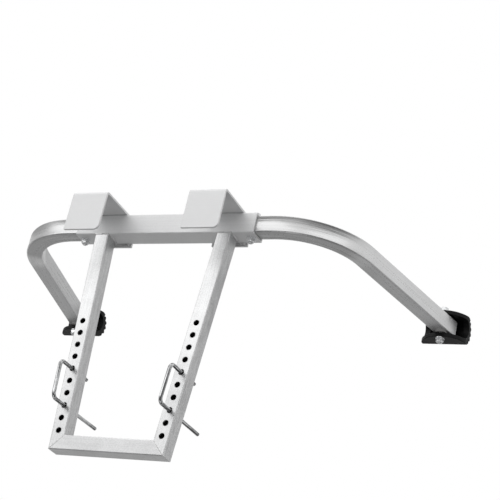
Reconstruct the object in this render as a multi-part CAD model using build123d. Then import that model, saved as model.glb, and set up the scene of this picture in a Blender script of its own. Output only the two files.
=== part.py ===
from build123d import *
import math
import os

# Ladder stabilizer (stand-off): a square centre sleeve carries two bent arms that reach
# to the wall, two bent-plate hooks that hang on a rung, and a U-shaped leg frame whose
# lock pins straddle the next rung down.
#
# Frame: millimetres. X runs along the rung, +Y points to the wall, +Z up along the legs.
# The origin is the middle of the rung seat: midway between the hooks, on the underside
# of their top plates, above the centre line of the rung.

# ---- driving dimensions -------------------------------------------------------------
RUNG_DEPTH = 30.0            # rung that the hooks are shaped for, front to back
HOOK_MOUTH = 69.0            # clear depth from front flap to sleeve, takes rail and rung

SLEEVE_SIDE = 38.0
SLEEVE_WALL = 3.5
SLEEVE_CORNER = 2.5
SLEEVE_LENGTH = 341.0

ARM_SIDE = 30.0
ARM_WALL = 2.0
ARM_CORNER = 2.5
ARM_INNER_END = 70.0         # arm's inserted end, from the middle of the sleeve
ARM_BEND_START = 194.5
ARM_BEND_RADIUS = 132.0      # of the tube's centre line
ARM_BEND_ANGLE = 77.0
ARM_REACH = 285.0            # straight length after the bend
ARM_PAST_PIVOT = 24.5

HOOK_PLATE = 4.0
HOOK_WIDTH = 67.0
HOOK_CENTRE = 111.5
HOOK_BEND = 2.0              # inside bend radius
HOOK_EDGE = 0.5              # rounding of the plate's cut edges
FLAP_BOTTOM = -69.0
FLAP_ROUND = 9.0             # rounded lower corner, on the +X side of both hooks
FLAP_EASE = 1.5
BACK_PLATE_BOTTOM = -43.0

LEG_WIDTH = 25.0
LEG_DEPTH = 28.0
LEG_WALL = 2.0
LEG_CORNER = 1.5
TUBE_INSIDE_CORNER = 0.6     # least rounding inside a tube
LEG_TOP_X = 117.7            # leg centre line where it meets the sleeve
LEG_TAPER = 0.064            # each leg leans inwards by this much per mm of drop
FRAME_BOTTOM = -431.0
HOLES_PER_LEG = 10
HOLE_DIAMETER = 10.0
FIRST_HOLE_Z = -203.6
HOLE_PITCH = 21.7
PIN_UPPER_HOLE = 4           # counted from 0 at the top
PIN_LOWER_HOLE = 7

PIN_WIRE = 6.4
PIN_BEND = 9.0               # bend radius of the wire's centre line
PIN_FRONT = 36.5             # front bar stands this far in front of the legs
PIN_SHORT_TAIL = 21.0        # upper arm past the back of the leg
PIN_LONG_TAIL = 78.0         # lower arm past the back of the leg
PIN_TILT = 1.2               # degrees; both arms rise a little towards the wall

FOOT_WIDTH = 82.0
FOOT_DROP = 1.0              # the foot hangs this far below the arm's centre line
FOOT_HALF_HEIGHT = 26.0
FOOT_GAP_HALF = 18.5         # half of the space between the cheeks
FOOT_ARCH_RADIUS = 44.6
FOOT_ARCH_CENTRE = 36.6      # from the pivot towards the wall
FOOT_CORNER = 3.0            # rounding where the arch meets the sides
FOOT_ROUND_CENTRE = 17.6     # axis of the half-round back, from the pivot
FOOT_ROUND_RADIUS = 27.0
FOOT_POCKET_CENTRE = 18.8    # axis of the pocket's round end, from the pivot
FOOT_MOUTH_CENTRE = 12.0     # the same at the foot's two ends, where the wall is thicker
FOOT_END_WEB = 10.0          # width of each thicker end
FOOT_EDGE = 0.8              # rounding of the moulded edges
PAD_INNER_RADIUS = 21.6
PAD_ROOT_RADIUS = 23.2
PAD_HALF_SPREAD = 62.5       # degrees each way from the wall direction
PAD_TEETH = 5
TOOTH_CREST = 0.16           # half of the crest and of the root, as shares of the pitch
TOOTH_ROOT = 0.40
BUSH_OUTER_RADIUS = 6.0
BUSH_FLANGE_RADIUS = 10.0
BUSH_FLANGE = 2.2
RUNNING_CLEARANCE = 0.05

BOLT_RADIUS = 4.0            # M8 throughout
BOLT_CLEARANCE = 0.3
THREAD_END = 0.8             # chamfer on bolt ends and wire tips
HEX_BEVEL = 0.9
HEX_ACROSS_FLATS = 13.0
HEAD_HEIGHT = 5.3
NUT_HEIGHT = 5.5
NUT_COLLAR_RADIUS = 5.7
NUT_COLLAR_HEIGHT = 2.0
NUT_COLLAR_ROUND = 0.8
BOLT_END_SHOWING = 1.5       # thread past the nut's collar
WASHER_RADIUS = 8.0
WASHER_THICKNESS = 1.6
WASHER_PLAY = 0.2
ARM_BOLT_X = 160.0
OVERCUT = 5.0                # drills and trimming blocks run this far past the faces
SAME_PLACE = 0.01            # points nearer than this count as one

# ---- derived places -----------------------------------------------------------------
FLAP_INSIDE = -RUNG_DEPTH / 2
SLEEVE_FRONT = FLAP_INSIDE + HOOK_MOUTH
SLEEVE_Y = SLEEVE_FRONT + SLEEVE_SIDE / 2
SLEEVE_BACK = SLEEVE_FRONT + SLEEVE_SIDE
SLEEVE_Z = -SLEEVE_SIDE / 2
LEG_FRONT = SLEEVE_FRONT
LEG_Y = LEG_FRONT + LEG_DEPTH / 2
LEG_BACK = LEG_FRONT + LEG_DEPTH
SIDES = {"left": -1, "right": 1}

bend = math.radians(ARM_BEND_ANGLE)
ARM_DIRECTION = Vector(math.cos(bend), math.sin(bend), 0)
ARM_END = Vector(
    ARM_BEND_START + ARM_BEND_RADIUS * math.sin(bend),
    SLEEVE_Y + ARM_BEND_RADIUS * (1 - math.cos(bend)),
    SLEEVE_Z,
) + ARM_DIRECTION * ARM_REACH
PIVOT = ARM_END - ARM_DIRECTION * ARM_PAST_PIVOT


# ---- helpers ------------------------------------------------------------------------
def hollow_section(width, depth, wall, corner):
    """Square or rectangular tube section with rounded corners."""
    inside = max(corner - wall, TUBE_INSIDE_CORNER)
    return RectangleRounded(width, depth, corner) - RectangleRounded(
        width - 2 * wall, depth - 2 * wall, inside
    )


def tapped_round(radius, length):
    """Shank that stands on z = 0 and ends in a small chamfer."""
    body = extrude(Circle(radius), length)
    return chamfer(body.edges().sort_by(Axis.Z)[-1], THREAD_END)


def hex_prism(height, bevel_both=False):
    """Hexagon on z = 0 with its corners turned down on top, and below if asked."""
    corner = HEX_ACROSS_FLATS / math.sqrt(3)
    prism = extrude(RegularPolygon(corner, 6), height)
    turned = extrude(Circle(corner), height)
    turned = chamfer(turned.edges().sort_by(Axis.Z)[-1], HEX_BEVEL)
    if bevel_both:
        turned = chamfer(turned.edges().sort_by(Axis.Z)[0], HEX_BEVEL)
    return prism & turned


def bolt(grip):
    """Hex bolt whose head rests on z = 0 and whose shank hangs below it."""
    length = grip + NUT_HEIGHT + NUT_COLLAR_HEIGHT + BOLT_END_SHOWING
    shank = Rot(180, 0, 0) * tapped_round(BOLT_RADIUS, length)
    return hex_prism(HEAD_HEIGHT) + shank


def lock_nut():
    """Nylon-insert nut that stands on z = 0 with its collar up."""
    collar = extrude(Circle(NUT_COLLAR_RADIUS), NUT_HEIGHT + NUT_COLLAR_HEIGHT)
    collar = fillet(collar.edges().sort_by(Axis.Z)[-1], NUT_COLLAR_ROUND)
    bore = extrude(Circle(BOLT_RADIUS), NUT_HEIGHT + NUT_COLLAR_HEIGHT)
    return hex_prism(NUT_HEIGHT, bevel_both=True) + collar - bore


def washer():
    """Plain washer on z = 0."""
    ring = Circle(WASHER_RADIUS) - Circle(BOLT_RADIUS + WASHER_PLAY)
    return extrude(ring, WASHER_THICKNESS)


def bolted_joint(top, axis_down, grip):
    """Bolt, two washers and nut that clamp a stack of the given grip.

    top is the point where the upper washer rests and axis_down the way the shank runs.
    """
    seat = Plane(origin=top, z_dir=-axis_down)
    far = Plane(origin=top + axis_down * grip, z_dir=axis_down)
    lift = Pos(0, 0, WASHER_THICKNESS)
    bolt_solid = seat.location * lift * bolt(grip + 2 * WASHER_THICKNESS)
    washers = [seat.location * washer(), far.location * washer()]
    nut = far.location * lift * lock_nut()
    return bolt_solid, washers, nut


def leg_x(z):
    """Centre line of the right leg at height z."""
    return LEG_TOP_X + LEG_TAPER * (z + SLEEVE_SIDE)


def hole_z(number):
    return FIRST_HOLE_Z - HOLE_PITCH * number


def hole_along_y(x, z, radius, start, end):
    """Cylinder along +Y for drilling."""
    at = Plane(origin=(x, start, z), x_dir=(1, 0, 0), z_dir=(0, 1, 0))
    return at.location * extrude(Circle(radius), end - start)


def hole_along_z(x, y, radius, bottom, top):
    return Pos(x, y, bottom) * extrude(Circle(radius), top - bottom)


def mirrored(shape, side):
    """Right-hand shape as it is, or its mirror image for the left."""
    return shape if side > 0 else mirror(shape, about=Plane.YZ)


# ---- centre sleeve ------------------------------------------------------------------
def make_centre_sleeve():
    start = Plane(
        origin=(-SLEEVE_LENGTH / 2, SLEEVE_Y, SLEEVE_Z), x_dir=(0, 1, 0), z_dir=(1, 0, 0)
    )
    section = hollow_section(SLEEVE_SIDE, SLEEVE_SIDE, SLEEVE_WALL, SLEEVE_CORNER)
    sleeve = start.location * extrude(section, SLEEVE_LENGTH)
    radius = BOLT_RADIUS + BOLT_CLEARANCE
    for side in SIDES.values():
        x = side * ARM_BOLT_X
        sleeve -= hole_along_z(x, SLEEVE_Y, radius, -SLEEVE_SIDE - OVERCUT, OVERCUT)
    return sleeve


# ---- arms ---------------------------------------------------------------------------
def make_arm(side):
    """Tube that leaves the sleeve along X, bends towards the wall and runs straight."""
    start = Vector(ARM_INNER_END, SLEEVE_Y, SLEEVE_Z)
    straight = Line(start, (ARM_BEND_START, SLEEVE_Y, SLEEVE_Z))
    turn = JernArc(straight @ 1, (1, 0, 0), ARM_BEND_RADIUS, ARM_BEND_ANGLE)
    reach = Line(turn @ 1, ARM_END)
    section_plane = Plane(origin=start, x_dir=(0, 1, 0), z_dir=(1, 0, 0))
    section = section_plane.location * hollow_section(
        ARM_SIDE, ARM_SIDE, ARM_WALL, ARM_CORNER
    )
    arm = sweep(section, path=straight + turn + reach)
    radius = BOLT_RADIUS + BOLT_CLEARANCE
    arm -= hole_along_z(ARM_BOLT_X, SLEEVE_Y, radius, -SLEEVE_SIDE, OVERCUT)
    arm -= hole_along_z(PIVOT.X, PIVOT.Y, BUSH_OUTER_RADIUS, -SLEEVE_SIDE, OVERCUT)
    return mirrored(arm, side)


# ---- hooks --------------------------------------------------------------------------
def make_hook(side):
    """Bent plate: flap in front of the rung, top over rung and sleeve, tail behind."""
    front = FLAP_INSIDE - HOOK_PLATE
    back = SLEEVE_BACK + HOOK_PLATE
    outline = Polyline(
        (front, FLAP_BOTTOM),
        (front, HOOK_PLATE),
        (back, HOOK_PLATE),
        (back, BACK_PLATE_BOTTOM),
        (SLEEVE_BACK, BACK_PLATE_BOTTOM),
        (SLEEVE_BACK, 0),
        (FLAP_INSIDE, 0),
        (FLAP_INSIDE, FLAP_BOTTOM),
        close=True,
    )
    profile = make_face(outline)
    outer = [v for v in profile.vertices() if abs(v.Y - HOOK_PLATE) < SAME_PLACE]
    profile = fillet(outer, HOOK_BEND + HOOK_PLATE)
    inner = [v for v in profile.vertices() if abs(v.Y) < SAME_PLACE]
    profile = fillet(inner, HOOK_BEND)
    low_x = side * HOOK_CENTRE - HOOK_WIDTH / 2
    across = Plane(origin=(low_x, 0, 0), x_dir=(0, 1, 0), z_dir=(1, 0, 0))
    hook = across.location * extrude(profile, HOOK_WIDTH)
    hook = fillet(flap_corners(hook)[-1], FLAP_ROUND)
    hook = fillet(flap_corners(hook)[0], FLAP_EASE)
    sides = hook.faces().filter_by(Axis.X).sort_by(Axis.X)
    return fillet(sides[0].edges() + sides[-1].edges(), HOOK_EDGE)


def flap_corners(hook):
    """Lower corner edges of the flap, from -X to +X."""
    upright = hook.edges().filter_by(Axis.Y)
    low = [edge for edge in upright if edge.center().Z < BACK_PLATE_BOTTOM - HOOK_PLATE]
    return ShapeList(low).sort_by(Axis.X)


# ---- leg frame ----------------------------------------------------------------------
def make_leg(side):
    """Tapering leg, square on the sleeve above and mitred into the bottom rail below."""
    lean = Vector(LEG_TAPER, 0, 1).normalized()
    foot_z = FRAME_BOTTOM - LEG_WIDTH
    base = Plane(
        origin=(leg_x(foot_z), LEG_Y, foot_z),
        x_dir=(lean.Z, 0, -lean.X),
        z_dir=lean,
    )
    tube = base.location * extrude(
        hollow_section(LEG_WIDTH, LEG_DEPTH, LEG_WALL, LEG_CORNER),
        -foot_z,
    )
    outer_x, inner_x, rail_top = mitre_points()
    keep = Polyline(
        (inner_x - LEG_WIDTH, rail_top + LEG_WIDTH * (rail_top - FRAME_BOTTOM)
         / (outer_x - inner_x)),
        (outer_x, FRAME_BOTTOM),
        (LEG_TOP_X + 2 * LEG_WIDTH, FRAME_BOTTOM),
        (LEG_TOP_X + 2 * LEG_WIDTH, -SLEEVE_SIDE),
        (inner_x - LEG_WIDTH, -SLEEVE_SIDE),
        close=True,
    )
    leg = tube & prism_xz(keep)
    for number in range(HOLES_PER_LEG):
        z = hole_z(number)
        leg -= hole_along_y(
            leg_x(z), z, HOLE_DIAMETER / 2, LEG_FRONT - OVERCUT, LEG_BACK + OVERCUT
        )
    return mirrored(leg, side)


def mitre_points():
    """Outer and inner x of the right-hand mitre, and the height of its inner end."""
    half = LEG_WIDTH / 2 * math.hypot(1, LEG_TAPER)
    rail_top = FRAME_BOTTOM + LEG_WIDTH
    return leg_x(FRAME_BOTTOM) + half, leg_x(rail_top) - half, rail_top


def prism_xz(outline):
    """Outline drawn in X and Z, made solid right through the leg frame's depth."""
    face = make_face(outline)
    back_plane = Plane(
        origin=(0, LEG_BACK + OVERCUT, 0), x_dir=(1, 0, 0), z_dir=(0, -1, 0)
    )
    return back_plane.location * extrude(face, LEG_DEPTH + 2 * OVERCUT)


def make_bottom_rail():
    outer_x, inner_x, rail_top = mitre_points()
    start = Plane(
        origin=(-outer_x, LEG_Y, FRAME_BOTTOM + LEG_WIDTH / 2),
        x_dir=(0, 1, 0),
        z_dir=(1, 0, 0),
    )
    tube = start.location * extrude(
        hollow_section(LEG_DEPTH, LEG_WIDTH, LEG_WALL, LEG_CORNER), 2 * outer_x
    )
    keep = Polyline(
        (-outer_x, FRAME_BOTTOM),
        (outer_x, FRAME_BOTTOM),
        (inner_x, rail_top),
        (-inner_x, rail_top),
        close=True,
    )
    return tube & prism_xz(keep)


# ---- lock pins ----------------------------------------------------------------------
def make_lock_pin(side):
    """Bent wire: short upper arm, bar in front of the rung, long lower arm."""
    slope = math.tan(math.radians(PIN_TILT))

    def point(number, y):
        z = hole_z(number)
        return Vector(leg_x(z), y, z + slope * (y - LEG_Y))

    front = LEG_FRONT - PIN_FRONT
    points = [
        point(PIN_UPPER_HOLE, LEG_BACK + PIN_SHORT_TAIL),
        point(PIN_UPPER_HOLE, front),
        point(PIN_LOWER_HOLE, front),
        point(PIN_LOWER_HOLE, LEG_BACK + PIN_LONG_TAIL),
    ]
    path = FilletPolyline(*points, radius=PIN_BEND)
    start = Plane(origin=points[0], x_dir=(1, 0, 0), z_dir=points[1] - points[0])
    wire = sweep(start.location * Circle(PIN_WIRE / 2), path=path)
    tips = wire.edges().filter_by(GeomType.CIRCLE).sort_by(Axis.Y)
    wire = chamfer(tips[-1], THREAD_END)
    return mirrored(wire, side)


# ---- feet ---------------------------------------------------------------------------
def round_ended_strip(half_height, centre, radius):
    """Strip in Y and Z about the pivot that ends in an arc towards the wall."""
    strip = Pos(centre - FOOT_WIDTH / 2, 0) * Rectangle(FOOT_WIDTH, 2 * half_height)
    clip = Pos(centre, 0) * Rectangle(2 * FOOT_WIDTH, 2 * half_height)
    return (strip + Pos(centre, 0) * Circle(radius)) & clip


def foot_pocket(centre, width):
    """Space for the arm between the cheeks, with a round end towards the wall."""
    section = round_ended_strip(FOOT_GAP_HALF, centre, FOOT_GAP_HALF)
    return along_foot(section, width)


def pad_sector(inner_radius, outer_radius, half_spread):
    """Sector of a ring about the half-round's axis, opening towards the wall."""
    spread = math.radians(half_spread)
    reach = 2 * outer_radius
    slant = Vector(reach * math.cos(spread), reach * math.sin(spread))
    wedge = make_face(
        Polyline(
            (0, 0), (slant.X, -slant.Y), (reach, -reach), (reach, reach), (slant.X, slant.Y),
            close=True,
        )
    )
    ring = Circle(outer_radius) - Circle(inner_radius)
    return Pos(FOOT_ROUND_CENTRE, 0) * (ring & wedge)


def along_foot(section, width=FOOT_WIDTH):
    """Section in (Y, Z) made solid over the width, centred on the pivot."""
    low = Plane(origin=(-width / 2, 0, 0), x_dir=(0, 1, 0), z_dir=(1, 0, 0))
    return low.location * extrude(section, width)


def foot_plan():
    """Plan of the foot: a shallow arch towards the ladder, square to the wall."""
    arch = Pos(0, FOOT_ARCH_CENTRE) * Circle(FOOT_ARCH_RADIUS)
    block = Pos(0, FOOT_ARCH_CENTRE + FOOT_WIDTH / 2) * Rectangle(FOOT_WIDTH, FOOT_WIDTH)
    strip = Pos(0, FOOT_ARCH_CENTRE) * Rectangle(FOOT_WIDTH, 4 * FOOT_WIDTH)
    plan = (arch & strip) + block
    front = plan.vertices().group_by(Axis.Y)[0]
    plan = fillet(front, FOOT_CORNER)
    return Pos(0, 0, -FOOT_WIDTH / 2) * extrude(plan, FOOT_WIDTH)


def place_at_pivot(shape, side, drop=FOOT_DROP):
    return Pos(side * PIVOT.X, PIVOT.Y, SLEEVE_Z - drop) * shape


def make_foot_yoke(side):
    section = round_ended_strip(FOOT_HALF_HEIGHT, FOOT_ROUND_CENTRE, FOOT_ROUND_RADIUS)
    recess = pad_sector(PAD_INNER_RADIUS, FOOT_ROUND_RADIUS + OVERCUT, PAD_HALF_SPREAD)
    yoke = along_foot(section) & foot_plan()
    yoke -= foot_pocket(FOOT_MOUTH_CENTRE, FOOT_WIDTH)
    yoke = fillet(yoke.edges(), FOOT_EDGE)
    yoke -= foot_pocket(FOOT_POCKET_CENTRE, FOOT_WIDTH - 2 * FOOT_END_WEB)
    yoke -= along_foot(recess)
    yoke -= hole_along_z(0, 0, BOLT_RADIUS, -FOOT_WIDTH / 2, FOOT_WIDTH / 2)
    return place_at_pivot(yoke, side)


def make_foot_pad(side):
    """Rubber tread with ridges along X, seated in the yoke's half-round back."""
    section = pad_sector(PAD_INNER_RADIUS, PAD_ROOT_RADIUS, PAD_HALF_SPREAD)
    pitch = 2 * PAD_HALF_SPREAD / PAD_TEETH
    for tooth in range(PAD_TEETH):
        section += tooth_at(pitch * (tooth + 0.5) - PAD_HALF_SPREAD, pitch)
    return place_at_pivot(along_foot(section), side)


def tooth_at(angle, pitch):
    """One ridge of the tread, with a flat crest and sloping flanks."""
    sunk = (PAD_INNER_RADIUS + PAD_ROOT_RADIUS) / 2
    corners = []
    for radius, share in (
        (sunk, -TOOTH_ROOT),
        (PAD_ROOT_RADIUS, -TOOTH_ROOT),
        (FOOT_ROUND_RADIUS, -TOOTH_CREST),
        (FOOT_ROUND_RADIUS, TOOTH_CREST),
        (PAD_ROOT_RADIUS, TOOTH_ROOT),
        (sunk, TOOTH_ROOT),
    ):
        turn = math.radians(angle + share * pitch)
        corners.append((radius * math.cos(turn), radius * math.sin(turn)))
    return Pos(FOOT_ROUND_CENTRE, 0) * make_face(Polyline(*corners, close=True))


def make_pivot_bushes(side):
    """Two flanged nylon bushes, one in each wall of the arm."""
    sleeve = Circle(BUSH_OUTER_RADIUS) - Circle(BOLT_RADIUS + RUNNING_CLEARANCE)
    flange = Circle(BUSH_FLANGE_RADIUS) - Circle(BOLT_RADIUS + RUNNING_CLEARANCE)
    upper = Pos(0, 0, ARM_SIDE / 2 - ARM_WALL) * extrude(sleeve, ARM_WALL)
    upper += Pos(0, 0, ARM_SIDE / 2) * extrude(flange, BUSH_FLANGE)
    lower = Rot(180, 0, 0) * upper
    return [place_at_pivot(bush, side, drop=0) for bush in (upper, lower)]


# ---- write the parts ----------------------------------------------------------------
def write(name, *solids):
    shape = solids[0] if len(solids) == 1 else Compound(children=list(solids))
    export_step(shape, f"parts/{name}.step")


os.makedirs("parts", exist_ok=True)
write("centre_sleeve", make_centre_sleeve())
write("bottom_rail", make_bottom_rail())

DOWN = Vector(0, 0, -1)
arm_joints = []
for name, side in SIDES.items():
    write(f"{name}_arm", make_arm(side))
    write(f"{name}_hook", make_hook(side))
    write(f"{name}_leg", make_leg(side))
    write(f"{name}_lock_pin", make_lock_pin(side))
    write(f"{name}_foot_yoke", make_foot_yoke(side))
    write(f"{name}_foot_pad", make_foot_pad(side))
    write(f"{name}_pivot_bushes", *make_pivot_bushes(side))
    pivot_top = Vector(side * PIVOT.X, PIVOT.Y, SLEEVE_Z - FOOT_DROP + FOOT_HALF_HEIGHT)
    pivot = bolted_joint(pivot_top, DOWN, 2 * FOOT_HALF_HEIGHT)
    write(f"{name}_pivot_bolt", pivot[0])
    write(f"{name}_pivot_washers", *pivot[1])
    write(f"{name}_pivot_nut", pivot[2])
    arm_joints.append(bolted_joint(Vector(side * ARM_BOLT_X, SLEEVE_Y, 0), DOWN, SLEEVE_SIDE))

write("arm_bolts", *[joint[0] for joint in arm_joints])
write("arm_washers", *[ring for joint in arm_joints for ring in joint[1]])
write("arm_nuts", *[joint[2] for joint in arm_joints])
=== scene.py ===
import math

import bpy
from mathutils import Matrix, Vector


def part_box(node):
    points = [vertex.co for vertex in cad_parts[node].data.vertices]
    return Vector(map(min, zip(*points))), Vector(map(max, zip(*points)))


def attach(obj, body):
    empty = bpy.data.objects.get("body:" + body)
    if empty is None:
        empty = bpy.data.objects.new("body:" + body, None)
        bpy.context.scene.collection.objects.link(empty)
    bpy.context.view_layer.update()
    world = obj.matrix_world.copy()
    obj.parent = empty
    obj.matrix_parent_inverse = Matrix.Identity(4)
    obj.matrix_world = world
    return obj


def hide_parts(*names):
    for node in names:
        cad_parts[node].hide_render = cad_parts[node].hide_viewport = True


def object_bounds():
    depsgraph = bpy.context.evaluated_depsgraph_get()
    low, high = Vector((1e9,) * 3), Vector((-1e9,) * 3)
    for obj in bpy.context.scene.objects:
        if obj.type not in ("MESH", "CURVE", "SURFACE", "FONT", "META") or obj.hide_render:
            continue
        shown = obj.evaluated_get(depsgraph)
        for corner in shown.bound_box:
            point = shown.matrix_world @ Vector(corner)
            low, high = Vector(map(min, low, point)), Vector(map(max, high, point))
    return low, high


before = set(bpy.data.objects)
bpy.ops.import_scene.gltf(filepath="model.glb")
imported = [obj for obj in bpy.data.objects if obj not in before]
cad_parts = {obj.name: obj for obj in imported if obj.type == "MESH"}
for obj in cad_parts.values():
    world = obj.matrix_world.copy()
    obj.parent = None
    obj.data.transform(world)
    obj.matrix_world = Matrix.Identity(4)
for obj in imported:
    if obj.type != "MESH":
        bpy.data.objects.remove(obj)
CAD_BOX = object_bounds()
MM = 0.001
SIDES = {"left": -1, "right": 1}

# ---- the part's own sizes, lengths in metres -----------------------------------------
SLEEVE_FRONT = 0.054
SLEEVE_BACK = 0.092
SLEEVE_UNDER = -0.038
ARM_HALF_WIDTH = 0.015
ARM_BEND_X = 0.1945
ARM_BEND_Y = 0.205
ARM_BEND_RADIUS = 0.132
ARM_BEND_TURN = math.radians(77)
HOOK_CENTRE = 0.1115
HOOK_WIDTH = 0.067
LEG_TOP_X = 0.1177
LEG_TAPER = 0.064
LEG_HALF_WIDTH = 0.0125
LEG_BACK = 0.082
LEG_SKIN = 0.0018            # what lies deeper than this is inside the leg's tube
FRAME_BOTTOM = -0.431
RAIL_TOP = -0.406
FIRST_HOLE_Z = -0.2036
HOLE_PITCH = 0.0217
HOLES_PER_LEG = 10
HOLE_RADIUS = 0.005
PIN_BAR_Y = 0.0175

# ---- detail that only this scene draws, lengths in metres ----------------------------
BEND_BEGINS = (-0.110, -0.005)   # along the arm: the side walls start to sink in
BEND_ENDS = (0.135, 0.190)       # and are flat again
DISH_DEPTH = 0.0036
HOLE_WEAR_WIDTH = 0.0022
THREAD_PITCH = 0.00125
THREAD_TOP = -0.039          # no thread is drawn above this height
TREAD_TIP = 0.0269           # radius at the crests of the tread's ridges
TREAD_ROOT = 0.0232          # radius at the bottom of its grooves
TREAD_INNER = 0.0217
TREAD_SPREAD = math.radians(62.3)
TREAD_TEETH = 5
TREAD_END = 0.0014           # rounding of the tread's two ends
TREAD_END_DROP = 0.0011
TREAD_STRIPS = 60            # along X between the rounded ends
TREAD_STEPS = 150            # from one edge of the ridges to the other
BEAD_STEP = 0.45 * MM
BEAD_PITCH = 2.4 * MM        # from one ripple of a weld to the next
BEAD_SIDES = 14
BEAD_TIP = 0.02              # keeps the first ring of a bead from closing to a point
BEAD_EASING = 4              # times that the corners of its path are smoothed

# ---- studio -------------------------------------------------------------------------
CAMERA_AIM = Vector((0.1065, 0.1747, -0.0049))
CAMERA_AZIMUTH = 28.79
CAMERA_ELEVATION = -25.70
CAMERA_ROLL = 13.02
CAMERA_DISTANCE = 2.501
CAMERA_LENS = 104.08
FLOOR_DROP = 1.3                 # from the part's lowest point, so the camera stays above it
FLOOR_SIZE = 120
FLOOR_FADE = (2.0, 9.0)          # the floor turns into plain white light over this distance
GROUND_LIGHT = 0.30              # strength of the light from below; it is 1 from the sides and above
GROUND_FADE = (-0.45, -0.04)     # heights, on a sphere of radius 1, where it changes
PANEL_CORE = 0.97                # cosine of the middle part, where a dark panel has its full depth
DARK_PANELS = (                  # azimuth, elevation, half width in degrees, share taken away
    (160, 16, 27, 0.62),
    (-92, 10, 38, 0.55),
    (48, -12, 52, 0.72),
    (-24, -24, 44, 0.62),
)
LAMPS = (                        # name, azimuth, elevation, distance, size, power
    ("key", -35, 40, 2.4, 2.6, 14),
    ("side", 62, 50, 2.4, 1.6, 4),
    ("under", 5, -62, 1.6, 0.5, 2.5),
)


def leg_centre(z):
    """Centre line of the right leg at height z."""
    return LEG_TOP_X + LEG_TAPER * (z - SLEEVE_UNDER)


def direction(azimuth, elevation):
    """Unit vector from the part towards a place round it; azimuth 0 is on the -Y side."""
    turn, rise = math.radians(azimuth), math.radians(elevation)
    level = math.cos(rise)
    return Vector((math.sin(turn) * level, -math.cos(turn) * level, math.sin(rise)))


def place_camera():
    """Camera at its distance from the aim, turned and rolled as the photograph's was."""
    turn, roll = math.radians(CAMERA_AZIMUTH), math.radians(CAMERA_ROLL)
    back = direction(CAMERA_AZIMUTH, CAMERA_ELEVATION)
    level = Vector((math.cos(turn), math.sin(turn), 0))
    over = back.cross(level)
    right = level * math.cos(roll) + over * math.sin(roll)
    up = over * math.cos(roll) - level * math.sin(roll)
    data = bpy.data.cameras.new("camera")
    data.lens = CAMERA_LENS
    data.clip_start, data.clip_end = 0.05, 100
    camera = bpy.data.objects.new("camera", data)
    camera.matrix_world = Matrix.LocRotScale(
        CAMERA_AIM + back * CAMERA_DISTANCE,
        Matrix((right, up, back)).transposed(),
        None,
    )
    bpy.context.scene.collection.objects.link(camera)
    bpy.context.scene.camera = camera


def area_light(name, azimuth, elevation, distance, size, power):
    """Soft square lamp that looks at the middle of the part."""
    middle = (CAD_BOX[0] + CAD_BOX[1]) / 2
    back = direction(azimuth, elevation)
    data = bpy.data.lights.new(name, "AREA")
    data.size = size
    data.energy = power
    lamp = bpy.data.objects.new(name, data)
    lamp.location = middle + back * distance
    lamp.rotation_euler = back.to_track_quat("Z", "Y").to_euler()
    lamp.visible_camera = False
    bpy.context.scene.collection.objects.link(lamp)


def make_world():
    """White surroundings, dimmer from below and from a few dark panels."""
    world = bpy.data.worlds.new("studio")
    bpy.context.scene.world = world
    world.use_nodes = True
    sky = Nodes(world.node_tree, "Background", "Generated")
    height = sky.split()[2]
    strength = sky.remap(height, *GROUND_FADE, GROUND_LIGHT, 1.0, smooth=True)
    for azimuth, elevation, half_width, depth in DARK_PANELS:
        towards = sky.dot(sky.place, direction(azimuth, elevation))
        rim = math.cos(math.radians(half_width))
        panel = sky.remap(towards, rim, PANEL_CORE, 1.0, 1.0 - depth, smooth=True)
        strength = sky.times(strength, panel)
    seen_directly = sky.add("LightPath").outputs["Is Camera Ray"]
    sky.set(sky.surface, "Strength", sky.math("MAXIMUM", strength, seen_directly))
    sky.set(sky.surface, "Color", grey(1.0))


def make_floor():
    """Floor that the part doesn't mirror and that sheds no light on it."""
    bpy.ops.mesh.primitive_plane_add(size=FLOOR_SIZE, location=(0, 0, CAD_BOX[0].z - FLOOR_DROP))
    floor = bpy.context.object
    floor.name = "floor"
    floor.data.materials.append(floor_material())
    floor.visible_diffuse = False
    floor.visible_glossy = False


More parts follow.
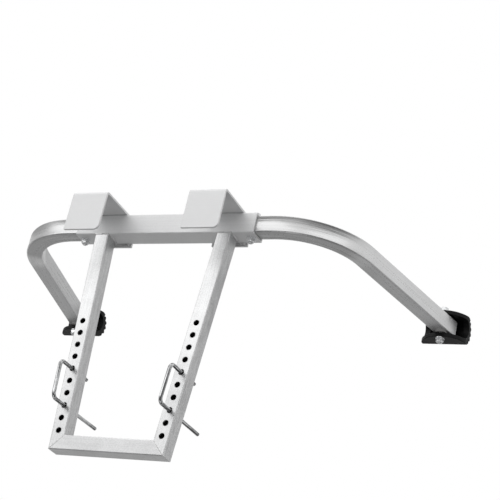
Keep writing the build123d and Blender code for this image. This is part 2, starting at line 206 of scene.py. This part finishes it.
# ---- material tools -----------------------------------------------------------------
class Nodes:
    """Short calls that add shader nodes to a tree."""

    def __init__(self, tree, surface, place):
        self.tree = tree
        self.surface = tree.nodes[surface]
        self.place = self.add("TexCoord").outputs[place]

    def set(self, node, socket, value):
        """Links the value if it is a socket, and otherwise stores it."""
        target = node.inputs[socket]
        if isinstance(value, bpy.types.NodeSocket):
            self.tree.links.new(value, target)
        else:
            target.default_value = value

    def add(self, kind, sockets=None, **settings):
        """New node with these input sockets and settings."""
        node = self.tree.nodes.new("ShaderNode" + kind)
        for key, value in settings.items():
            setattr(node, key, value)
        for socket, value in (sockets or {}).items():
            self.set(node, socket, value)
        return node

    def math(self, operation, *values):
        return self.add("Math", dict(enumerate(values)), operation=operation).outputs[0]

    def plus(self, first, second):
        return self.math("ADD", first, second)

    def minus(self, first, second):
        return self.math("SUBTRACT", first, second)

    def times(self, first, second):
        return self.math("MULTIPLY", first, second)

    def times_plus(self, first, second, third):
        return self.math("MULTIPLY_ADD", first, second, third)

    def absolute(self, value):
        return self.math("ABSOLUTE", value)

    def vector(self, x, y, z):
        return self.add("CombineXYZ", {"X": x, "Y": y, "Z": z}).outputs[0]

    def split(self, vector=None):
        """The X, Y and Z sockets of a vector, or of the place on the piece."""
        outputs = self.add("SeparateXYZ", {0: vector or self.place}).outputs
        return outputs["X"], outputs["Y"], outputs["Z"]

    def scaled(self, vector, x, y, z):
        scale = {0: vector, 1: (x, y, z)}
        return self.add("VectorMath", scale, operation="MULTIPLY").outputs[0]

    def dot(self, first, second):
        sockets = {0: first, 1: second}
        return self.add("VectorMath", sockets, operation="DOT_PRODUCT").outputs["Value"]

    def noise(self, vector, scale, detail=3.0, roughness=0.5):
        """Noise from 0 to 1. The scale is in blobs per metre."""
        sockets = {"Vector": vector, "Scale": scale, "Detail": detail, "Roughness": roughness}
        return self.add("TexNoise", sockets).outputs["Fac"]

    def remap(self, value, low, high, to_low=0.0, to_high=1.0, smooth=False):
        """Value carried from one range to another, and held at its ends."""
        sockets = {
            "Value": value, "From Min": low, "From Max": high, "To Min": to_low, "To Max": to_high,
        }
        kind = "SMOOTHSTEP" if smooth else "LINEAR"
        return self.add("MapRange", sockets, interpolation_type=kind).outputs["Result"]

    def blend(self, share, first, second):
        """Mix of two colours. The colour sockets of the node share their names with others."""
        first_colour, second_colour, mixed_colour = 6, 7, 2
        sockets = {"Factor": share, first_colour: first, second_colour: second}
        return self.add("Mix", sockets, data_type="RGBA").outputs[mixed_colour]

    def rounded(self, radius):
        """Surface normal as if the piece's edges were rounded over."""
        return self.add("Bevel", {"Radius": radius}, samples=4).outputs["Normal"]

    def bump(self, height, distance, strength=1.0, normal=None):
        sockets = {"Height": height, "Distance": distance, "Strength": strength}
        if normal is not None:
            sockets["Normal"] = normal
        return self.add("Bump", sockets).outputs["Normal"]

    def edges(self, radius):
        """1 on the rounded-over edges of the piece, 0 on its flats."""
        flat = self.add("NewGeometry").outputs["Normal"]
        return self.remap(self.dot(self.rounded(radius), flat), 0.98, 0.82)


class Shader(Nodes):
    """A new material in the coordinates of its piece."""

    def __init__(self, name, **surface):
        self.material = bpy.data.materials.new(name)
        self.material.use_nodes = True
        super().__init__(self.material.node_tree, "Principled BSDF", "Object")
        for socket, value in surface.items():
            self.set(self.surface, socket.replace("_", " "), value)

    def finish(self, base, roughness, normal):
        """Links colour, roughness and normal, and gives the material."""
        self.set(self.surface, "Base Color", base)
        self.set(self.surface, "Roughness", roughness)
        self.set(self.surface, "Normal", normal)
        return self.material


def grey(value, tint=0.0):
    """Grey with a touch of blue for a positive tint."""
    return (value * (1 - tint), value, value * (1 + tint), 1.0)


def floor_material():
    """Matte floor that turns into plain white light a few metres out."""
    shader = Shader("pale_floor", Roughness=0.9)
    x, y, _ = shader.split()
    square = shader.plus(shader.math("POWER", x, 2.0), shader.math("POWER", y, 2.0))
    far = shader.remap(shader.math("SQRT", square), *FLOOR_FADE)
    near = shader.blend(shader.noise(shader.place, 1.5), grey(0.86), grey(0.90))
    shader.set(shader.surface, "Base Color", shader.blend(far, near, grey(0.0)))
    shader.set(shader.surface, "Emission Color", grey(1.0))
    shader.set(shader.surface, "Emission Strength", far)
    return shader.material


# ---- aluminium ----------------------------------------------------------------------
def along_x(shader):
    """Coordinates of a tube that runs along X."""
    return shader.place


def along_z(shader):
    """Coordinates of a tube that runs along Z."""
    x, y, z = shader.split()
    return shader.vector(z, x, y)


def along_arm(shader):
    """Length along the arm's centre line, place across it, and height."""
    x, y, z = shader.split()
    over = shader.minus(shader.absolute(x), ARM_BEND_X)
    back = shader.minus(ARM_BEND_Y, y)
    turn = shader.math("ARCTAN2", over, back)
    turn = shader.math("MINIMUM", shader.math("MAXIMUM", turn, 0.0), ARM_BEND_TURN)
    cos, sin = shader.math("COSINE", turn), shader.math("SINE", turn)
    ahead = shader.minus(shader.times(over, cos), shader.times(back, sin))
    across = shader.plus(shader.times(over, sin), shader.times(back, cos))
    return shader.vector(shader.times_plus(turn, ARM_BEND_RADIUS, ahead), across, z)


def arm_dish(shader, vector):
    """Height of the dished side walls, which sink in as the tube is bent, and the bend's share."""
    along, _, z = shader.split(vector)
    begins = shader.remap(along, *BEND_BEGINS, smooth=True)
    ends = shader.remap(along, *BEND_ENDS, 1.0, 0.0, smooth=True)
    bent = shader.times(begins, ends)
    level = shader.math("DIVIDE", shader.minus(z, SLEEVE_UNDER / 2), ARM_HALF_WIDTH)
    return shader.times(shader.times(level, level), bent), bent


def beside_leg(shader):
    """Distance off the nearer leg's centre line, along X."""
    x, _, z = shader.split()
    middle = shader.times_plus(z, LEG_TAPER, leg_centre(0))
    return shader.minus(shader.absolute(x), middle)


def hole_wear(shader):
    """1 in the rubbed ring round each hole of a leg, fading out."""
    number = shader.math("DIVIDE", shader.minus(FIRST_HOLE_Z, shader.split()[2]), HOLE_PITCH)
    nearest = shader.math("MAXIMUM", shader.math("ROUND", number), 0.0)
    nearest = shader.math("MINIMUM", nearest, HOLES_PER_LEG - 1)
    apart = shader.times(shader.minus(number, nearest), HOLE_PITCH)
    aside = beside_leg(shader)
    square = shader.plus(shader.math("POWER", aside, 2.0), shader.math("POWER", apart, 2.0))
    ring = shader.remap(shader.math("SQRT", square), HOLE_RADIUS + HOLE_WEAR_WIDTH, HOLE_RADIUS)
    patchy = shader.remap(shader.noise(shader.place, 600, 3), 0.35, 0.65)
    return shader.times(ring, patchy)


def leg_inside_shade(shader):
    """1 on the walls inside the leg's tube, where painted shade darkens them."""
    middle, half = (LEG_BACK + SLEEVE_FRONT) / 2, (LEG_BACK - SLEEVE_FRONT) / 2
    aside = shader.absolute(beside_leg(shader))
    depth = shader.absolute(shader.minus(shader.split()[1], middle))
    return shader.times(
        shader.math("LESS_THAN", aside, LEG_HALF_WIDTH - LEG_SKIN),
        shader.math("LESS_THAN", depth, half - LEG_SKIN),
    )


def aluminium(name, grain, tone, roughness, speckle, metallic=1.0, leg=False, arm=False):
    """Mill-finish extrusion. grain gives the coordinates: X along the tube, Y and Z across."""
    shader = Shader(name)
    vector = grain(shader)
    lines = shader.noise(shader.scaled(vector, 5, 420, 420), 1.0, 4)
    hairs = shader.noise(shader.scaled(vector, 30, 2600, 2600), 1.0, 2)
    cloud = shader.noise(shader.place, 22, 4, 0.6)
    blotch = shader.noise(shader.place, 430, 4, 0.7)
    light = shader.times_plus(lines, 0.30, shader.times(cloud, 0.25))
    light = shader.times_plus(blotch, 0.45, light)
    normal = shader.rounded(0.7 * MM)
    if arm:
        dish, bent = arm_dish(shader, vector)
        drawn = shader.noise(shader.scaled(vector, 9, 170, 170), 1.0, 3)
        drawn = shader.times(shader.minus(drawn, 0.5), bent)
        light = shader.times_plus(drawn, 0.5, light)
        normal = shader.bump(shader.times_plus(drawn, 0.22, dish), DISH_DEPTH, 1.0, normal)

    share = shader.remap(light, 0.42, 0.58)
    base = shader.blend(share, grey(tone - speckle, 0.004), grey(tone + speckle, 0.004))
    # Edges: wear and painted highlight. They are lightened here, and made less metallic below, so
    # they show a bright rim of light as well as rubbed metal.
    edge_patches = shader.remap(cloud, 0.35, 0.6, 0.4, 1.0)
    scuff_and_highlight = shader.times(shader.edges(1.2 * MM), edge_patches)
    base = shader.blend(scuff_and_highlight, base, grey(min(tone + 0.22, 0.92)))
    if arm:
        metallic = shader.times_plus(bent, 0.95 - metallic, metallic)
        # painted shade: the bend is made darker, to tone down the key lamp's highlight there and
        # darken its underside.
        base = shader.blend(shader.times(bent, 0.6), base, grey(tone * 0.68))
    if leg:
        base = shader.blend(shader.times(hole_wear(shader), 0.5), base, grey(tone * 0.72))
        # painted shade: the walls inside the leg's tube are coloured nearly black, for the shade
        # that lies in there.
        base = shader.blend(leg_inside_shade(shader), base, grey(0.04))
    off_edges = shader.times_plus(scuff_and_highlight, -0.85, 1.0)
    shader.set(shader.surface, "Metallic", shader.times(metallic, off_edges))

    gloss = shader.times_plus(shader.remap(lines, 0.35, 0.65, -1, 1), 0.035, roughness)
    gloss = shader.times_plus(shader.remap(blotch, 0.35, 0.65, -1, 1), 0.05, gloss)
    relief = shader.times_plus(hairs, 0.4, shader.times(lines, 0.8))
    relief = shader.times_plus(blotch, 1.1, relief)
    return shader.finish(base, gloss, shader.bump(relief, 0.05 * MM, 0.7, normal))


def weld_metal():
    """Bright bead with patches of soot."""
    shader = Shader("weld_aluminium", Metallic=1.0)
    patch = shader.noise(shader.place, 500, 4)
    soot = shader.remap(shader.noise(shader.place, 140, 3), 0.45, 0.68, 0.0, 0.55)
    base = shader.blend(soot, shader.blend(patch, grey(0.60), grey(0.78)), grey(0.30))
    gloss = shader.remap(patch, 0.3, 0.7, 0.28, 0.46)
    return shader.finish(base, gloss, shader.bump(patch, 0.06 * MM, 0.6))


# ---- zinc-plated steel --------------------------------------------------------------
def thread_relief(shader):
    """Height of screw-thread ridges round Z, on upright faces below the thread's top."""
    z = shader.split()[2]
    wave = shader.math("SINE", shader.times(z, 2 * math.pi / THREAD_PITCH))
    ridges = shader.times(shader.plus(wave, 1.0), 0.5)
    facing = shader.split(shader.add("NewGeometry").outputs["Normal"])[2]
    upright = shader.remap(shader.absolute(facing), 0.5, 0.2)
    below = shader.remap(z, THREAD_TOP - 1 * MM, THREAD_TOP, 1.0, 0.0)
    return shader.times(shader.times(ridges, upright), below)


def zinc(name, tone, roughness, threads=False):
    """Bright plating, a little uneven, with rubbed edges."""
    shader = Shader(name, Metallic=0.7)
    patch = shader.noise(shader.place, 420, 3)
    haze = shader.noise(shader.place, 90, 4)
    base = shader.blend(patch, grey(tone - 0.07, 0.015), grey(tone + 0.06, 0.01))
    base = shader.blend(shader.times(shader.edges(0.7 * MM), 0.6), base, grey(0.90))
    gloss = shader.remap(haze, 0.3, 0.7, roughness - 0.06, roughness + 0.12)
    normal = shader.bump(patch, 0.35 * MM, 1.0, shader.rounded(0.35 * MM))
    if threads:
        normal = shader.bump(thread_relief(shader), 0.6 * MM, 1.0, normal)
    return shader.finish(base, gloss, normal)


def wire_metal():
    """Drawn wire: streaks along it, up the front bar and back along both arms. Their strong dark and
    bright contrast is partly painted reflection.
    """
    shader = Shader("zinc_wire", Metallic=1.0)
    _, y, z = shader.split()
    patch = shader.noise(shader.place, 260, 4, 0.6)
    speck = shader.noise(shader.place, 1600, 2)
    along_bar = shader.vector(beside_leg(shader), y, z)
    up = shader.noise(shader.scaled(along_bar, 440, 440, 14), 1.0, 2, 0.6)
    back = shader.noise(shader.scaled(shader.place, 440, 14, 440), 1.0, 2, 0.6)
    on_bar = shader.remap(y, PIN_BAR_Y + 9 * MM, PIN_BAR_Y + 4 * MM)
    streak_and_reflection = shader.add("Mix", {"Factor": on_bar, "A": back, "B": up}).outputs["Result"]
    # painted reflection as well as drawing marks: the streaks run from near black to near white,
    # standing in for the wire's bright and dark reflection lines.
    share = shader.remap(shader.times_plus(patch, 0.25, streak_and_reflection), 0.55, 0.77)
    base = shader.blend(share, grey(0.18, 0.01), grey(0.86, 0.01))
    gloss = shader.remap(patch, 0.3, 0.7, 0.12, 0.24)
    relief = shader.times_plus(streak_and_reflection, 5.0, speck)
    return shader.finish(base, gloss, shader.bump(relief, 0.06 * MM, 0.8))


# ---- feet ---------------------------------------------------------------------------
def moulded_nylon():
    """Black moulding: fine texture, flow marks and paler rubbed edges."""
    shader = Shader("moulded_nylon", Specular_IOR_Level=0.16)
    texture = shader.noise(shader.place, 1500, 3)
    flow = shader.noise(shader.scaled(shader.place, 30, 110, 110), 1.0, 4)
    base = shader.blend(shader.remap(flow, 0.35, 0.65), grey(0.004, 0.05), grey(0.010, 0.06))
    rub = shader.times(shader.edges(0.9 * MM), shader.remap(flow, 0.3, 0.6, 0.2, 0.7))
    base = shader.blend(rub, base, grey(0.045, 0.02))
    gloss = shader.remap(flow, 0.3, 0.7, 0.36, 0.52)
    normal = shader.bump(texture, 0.05 * MM, 0.6, shader.rounded(0.5 * MM))
    return shader.finish(base, gloss, normal)


def tread_rubber():
    """Matte rubber with smears along it and scuffed crests."""
    shader = Shader("tread_rubber", Specular_IOR_Level=0.3)
    grain = shader.noise(shader.place, 1300, 3)
    smear = shader.noise(shader.scaled(shader.place, 25, 260, 260), 1.0, 4)
    base = shader.blend(shader.remap(smear, 0.35, 0.7), grey(0.006), grey(0.016))
    base = shader.blend(shader.times(shader.edges(1.2 * MM), 0.5), base, grey(0.035))
    gloss = shader.remap(grain, 0.3, 0.7, 0.66, 0.86)
    return shader.finish(base, gloss, shader.bump(grain, 0.08 * MM, 0.7))


def bush_nylon():
    """Natural nylon, a little yellow."""
    shader = Shader("bush_nylon")
    texture = shader.noise(shader.place, 900, 3)
    base = shader.blend(texture, grey(0.42, -0.01), grey(0.55, -0.012))
    gloss = shader.remap(texture, 0.3, 0.7, 0.38, 0.52)
    return shader.finish(base, gloss, shader.bump(texture, 0.04 * MM, 0.5))


MATERIALS = {
    "sleeve": aluminium("sleeve_mill_aluminium", along_x, 0.80, 0.55, 0.03, metallic=0.35),
    "arm": aluminium("arm_mill_aluminium", along_arm, 0.72, 0.32, 0.05, metallic=0.45, arm=True),
    # painted shade: the legs' tone is set darker than the arms', for the shade that falls on the
    # legs.
    "leg": aluminium("leg_aluminium_painted_shade", along_z, 0.66, 0.38, 0.10, leg=True),
    "rail": aluminium("rail_mill_aluminium", along_x, 0.68, 0.40, 0.08, metallic=0.8),
    "hook": aluminium("hook_satin_plate", along_x, 0.76, 0.55, 0.015, metallic=0.5),
    "weld": weld_metal(),
    "zinc": zinc("bright_zinc", 0.94, 0.15),
    "bolt": zinc("threaded_zinc", 0.70, 0.28, threads=True),
    "wire": wire_metal(),
    "yoke": moulded_nylon(),
    "tread": tread_rubber(),
    "bush": bush_nylon(),
}
NODE_MATERIALS = {
    "sleeve": "sleeve", "arm": "arm", "leg": "leg", "bottom_rail": "rail", "hook": "hook",
    "lock_pin": "wire", "yoke": "yoke", "pad": "tread", "bushes": "bush",
    "bolt": "bolt", "washer": "zinc", "nut": "zinc",
}


def dress_nodes():
    """Gives each CAD node the material of the last kind that its name contains."""
    for name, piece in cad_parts.items():
        kinds = [kind for kind in NODE_MATERIALS if kind in name]
        piece.data.materials.clear()
        piece.data.materials.append(MATERIALS[NODE_MATERIALS[kinds[-1]]])


# ---- new pieces ---------------------------------------------------------------------
def new_piece(name, points, faces, material, body):
    """Smooth-shaded mesh that rides on the body."""
    mesh = bpy.data.meshes.new(name)
    mesh.from_pydata([tuple(point) for point in points], [], faces)
    mesh.validate()
    for polygon in mesh.polygons:
        polygon.use_smooth = True
    mesh.materials.append(MATERIALS[material])
    piece = bpy.data.objects.new(name, mesh)
    bpy.context.scene.collection.objects.link(piece)
    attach(piece, body)
    return piece


def even_path(corners, step, closed):
    """Points a step apart along straight runs, with the corners eased."""
    if closed:
        corners = corners + [corners[0]]
    path = []
    for start, end in zip(corners, corners[1:]):
        count = max(2, round((end - start).length / step))
        path += [start.lerp(end, i / count) for i in range(count)]
    if not closed:
        path.append(corners[-1])
    for _ in range(BEAD_EASING):
        eased = list(path)
        for i in range(len(path)):
            if closed or 0 < i < len(path) - 1:
                before, after = path[i - 1], path[(i + 1) % len(path)]
                eased[i] = (before + path[i] * 2 + after) / 4
        path = eased
    return path


def bead_rings(path, radius, closed):
    """Place, direction and half width of each ring of a rippled bead.

    Each ripple is a puddle that the next one overlaps: widest at its start, and a tenth narrower
    where it ends. The width also wanders a little. An open bead has rounded ends.
    """
    last = len(path) - 1
    travelled = 0.0
    for i, place in enumerate(path):
        before = path[i - 1] if closed or i else path[0]
        after = path[(i + 1) % len(path)] if closed or i < last else path[last]
        phase = (travelled / BEAD_PITCH) % 1.0
        ripple = 0.90 + 0.14 * math.sqrt(1 - phase * phase * 0.9)
        wander = 1 + 0.05 * math.sin(travelled * 900) + 0.03 * math.sin(travelled * 2300 + 1)
        ends = 1.0
        if not closed:
            near = min(min(i, last - i) * BEAD_STEP / radius, 1.0)
            ends = math.sqrt(max(BEAD_TIP, 1 - (1 - near) ** 2))
        yield place, (after - before).normalized(), radius * ripple * wander * ends
        travelled += BEAD_STEP


def bead_mesh(path, radius, closed):
    """Points and faces of a bead, its rings carried along without twisting."""
    points, faces = [], []
    side = None
    for place, run, width in bead_rings(path, radius, closed):
        side = run.orthogonal() if side is None else side - run * side.dot(run)
        side.normalize()
        third = run.cross(side)
        for k in range(BEAD_SIDES):
            angle = 2 * math.pi * k / BEAD_SIDES
            points.append(place + (side * math.cos(angle) + third * math.sin(angle)) * width)
    last = len(path) - 1
    for i in range(len(path) if closed else last):
        here, there = i * BEAD_SIDES, (i + 1) % len(path) * BEAD_SIDES
        for k in range(BEAD_SIDES):
            after = (k + 1) % BEAD_SIDES
            faces.append((here + k, here + after, there + after, there + k))
    if not closed:
        faces.append(tuple(range(BEAD_SIDES))[::-1])
        faces.append(tuple(last * BEAD_SIDES + k for k in range(BEAD_SIDES)))
    return points, faces


def weld(name, beads):
    """One piece made of several beads, each (corners, radius, closed)."""
    points, faces = [], []
    for corners, radius, closed in beads:
        path = even_path([Vector(corner) for corner in corners], BEAD_STEP, closed)
        bead_points, bead_faces = bead_mesh(path, radius, closed)
        faces += [tuple(len(points) + index for index in face) for face in bead_faces]
        points += bead_points
    new_piece(name, points, faces, "weld", "frame")


def make_leg_weld(name, side):
    """Bead round the top of the leg, where it meets the sleeve."""
    near, far = (side * (LEG_TOP_X + way * (LEG_HALF_WIDTH + 0.4 * MM)) for way in (-1, 1))
    front, back = SLEEVE_FRONT + 1.3 * MM, LEG_BACK + 0.4 * MM
    groove, corner = SLEEVE_UNDER + 0.7 * MM, SLEEVE_UNDER - 0.3 * MM
    ring = [(near, front, groove), (near, back, corner), (far, back, corner), (far, front, groove)]
    weld(f"{name}_leg_weld", [(ring, 2.0 * MM, True)])


def make_hook_weld(name, side):
    """Beads down both edges of the hook, on the sleeve's top and back, and along its lower edge."""
    above, behind = 0.3 * MM, SLEEVE_BACK + 0.3 * MM
    beads = []
    for edge in (-1, 1):
        x = side * HOOK_CENTRE + edge * (HOOK_WIDTH / 2 + 0.3 * MM)
        down = [
            (x, SLEEVE_FRONT + 5 * MM, above),
            (x, SLEEVE_BACK - 1 * MM, above),
            (x, behind, -4 * MM),
            (x, behind, SLEEVE_UNDER + 4 * MM),
        ]
        beads.append((down, 2.2 * MM, False))
    ends = (side * HOOK_CENTRE + way * (HOOK_WIDTH / 2 - 3 * MM) for way in (-1, 1))
    low = [(x, SLEEVE_BACK - 0.8 * MM, SLEEVE_UNDER - 0.4 * MM) for x in ends]
    beads.append((low, 2.3 * MM, False))
    weld(f"{name}_hook_weld", beads)


def make_mitre_weld(name, side):
    """Mitre between leg and bottom rail: nearly flush on the faces, fuller inside."""
    outer = leg_centre(FRAME_BOTTOM) + LEG_HALF_WIDTH
    inner = leg_centre(RAIL_TOP) - LEG_HALF_WIDTH
    beads = []
    for y in (SLEEVE_FRONT + 0.9 * MM, LEG_BACK - 0.9 * MM):
        low = (side * (outer - 2 * MM), y, FRAME_BOTTOM + 2 * MM)
        high = (side * (inner + 1 * MM), y, RAIL_TOP - 1 * MM)
        beads.append(([low, high], 1.15 * MM, False))
    inside = [(side * inner, y, RAIL_TOP) for y in (SLEEVE_FRONT + 2 * MM, LEG_BACK - 2 * MM)]
    beads.append((inside, 1.7 * MM, False))
    weld(f"{name}_mitre_weld", beads)


def tread_radius(angle):
    """Outer radius of the tread: rounded ridges with narrow grooves between them."""
    pitch = 2 * TREAD_SPREAD / TREAD_TEETH
    within = ((angle + TREAD_SPREAD) / pitch) % 1.0
    rise = 0.5 - 0.5 * math.cos(2 * math.pi * within)
    return TREAD_ROOT + (TREAD_TIP - TREAD_ROOT) * rise ** 0.75


def tread_stations(width):
    """Distances across the foot at which the tread's section is drawn, closer at the ends."""
    near_end = [0.0, 0.25 * MM, 0.7 * MM, TREAD_END]
    flat = width - 2 * TREAD_END
    middle = [TREAD_END + flat * i / TREAD_STRIPS for i in range(1, TREAD_STRIPS)]
    return near_end + middle + [width - station for station in reversed(near_end)]


def make_tread(name):
    """Ridged rubber tread, swept along X, with rounded ends."""
    node = f"{name}_foot_pad"
    low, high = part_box(node)
    centre_y = high.y - TREAD_TIP - 0.02 * MM
    centre_z = (low.z + high.z) / 2
    stations = tread_stations(high.x - low.x)
    angles = [TREAD_SPREAD * (2 * i / TREAD_STEPS - 1) for i in range(TREAD_STEPS + 1)]

    def at(station, radius, angle):
        out, up = radius * math.cos(angle), radius * math.sin(angle)
        return low.x + station, centre_y + out, centre_z + up

    points, faces = [], []
    for station in stations:
        from_end = min(station, stations[-1] - station)
        inset = 1 - min(from_end / TREAD_END, 1.0)
        drop = (1 - math.sqrt(1 - inset ** 2)) * TREAD_END_DROP
        points += [at(station, tread_radius(angle) - drop, angle) for angle in angles]
        points += [at(station, TREAD_INNER, angle) for angle in reversed(angles)]
    ring = 2 * len(angles)
    last = (len(stations) - 1) * ring
    for here in range(0, last, ring):
        for k in range(ring):
            after = (k + 1) % ring
            faces.append((here + k, here + ring + k, here + ring + after, here + after))
    for row, flip in ((0, False), (last, True)):
        for k in range(TREAD_STEPS):
            quad = (row + k, row + k + 1, row + ring - 2 - k, row + ring - 1 - k)
            faces.append(quad[::-1] if flip else quad)
    piece = new_piece(f"{name}_tread", points, faces, "tread", f"{name}_foot")
    piece.data.set_sharp_from_angle(angle=math.radians(55))
    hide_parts(node)


dress_nodes()
for name, side in SIDES.items():
    make_leg_weld(name, side)
    make_hook_weld(name, side)
    make_mitre_weld(name, side)
    make_tread(name)

place_camera()
make_world()
make_floor()
for lamp in LAMPS:
    area_light(*lamp)
bpy.context.scene.view_settings.view_transform = "Standard"
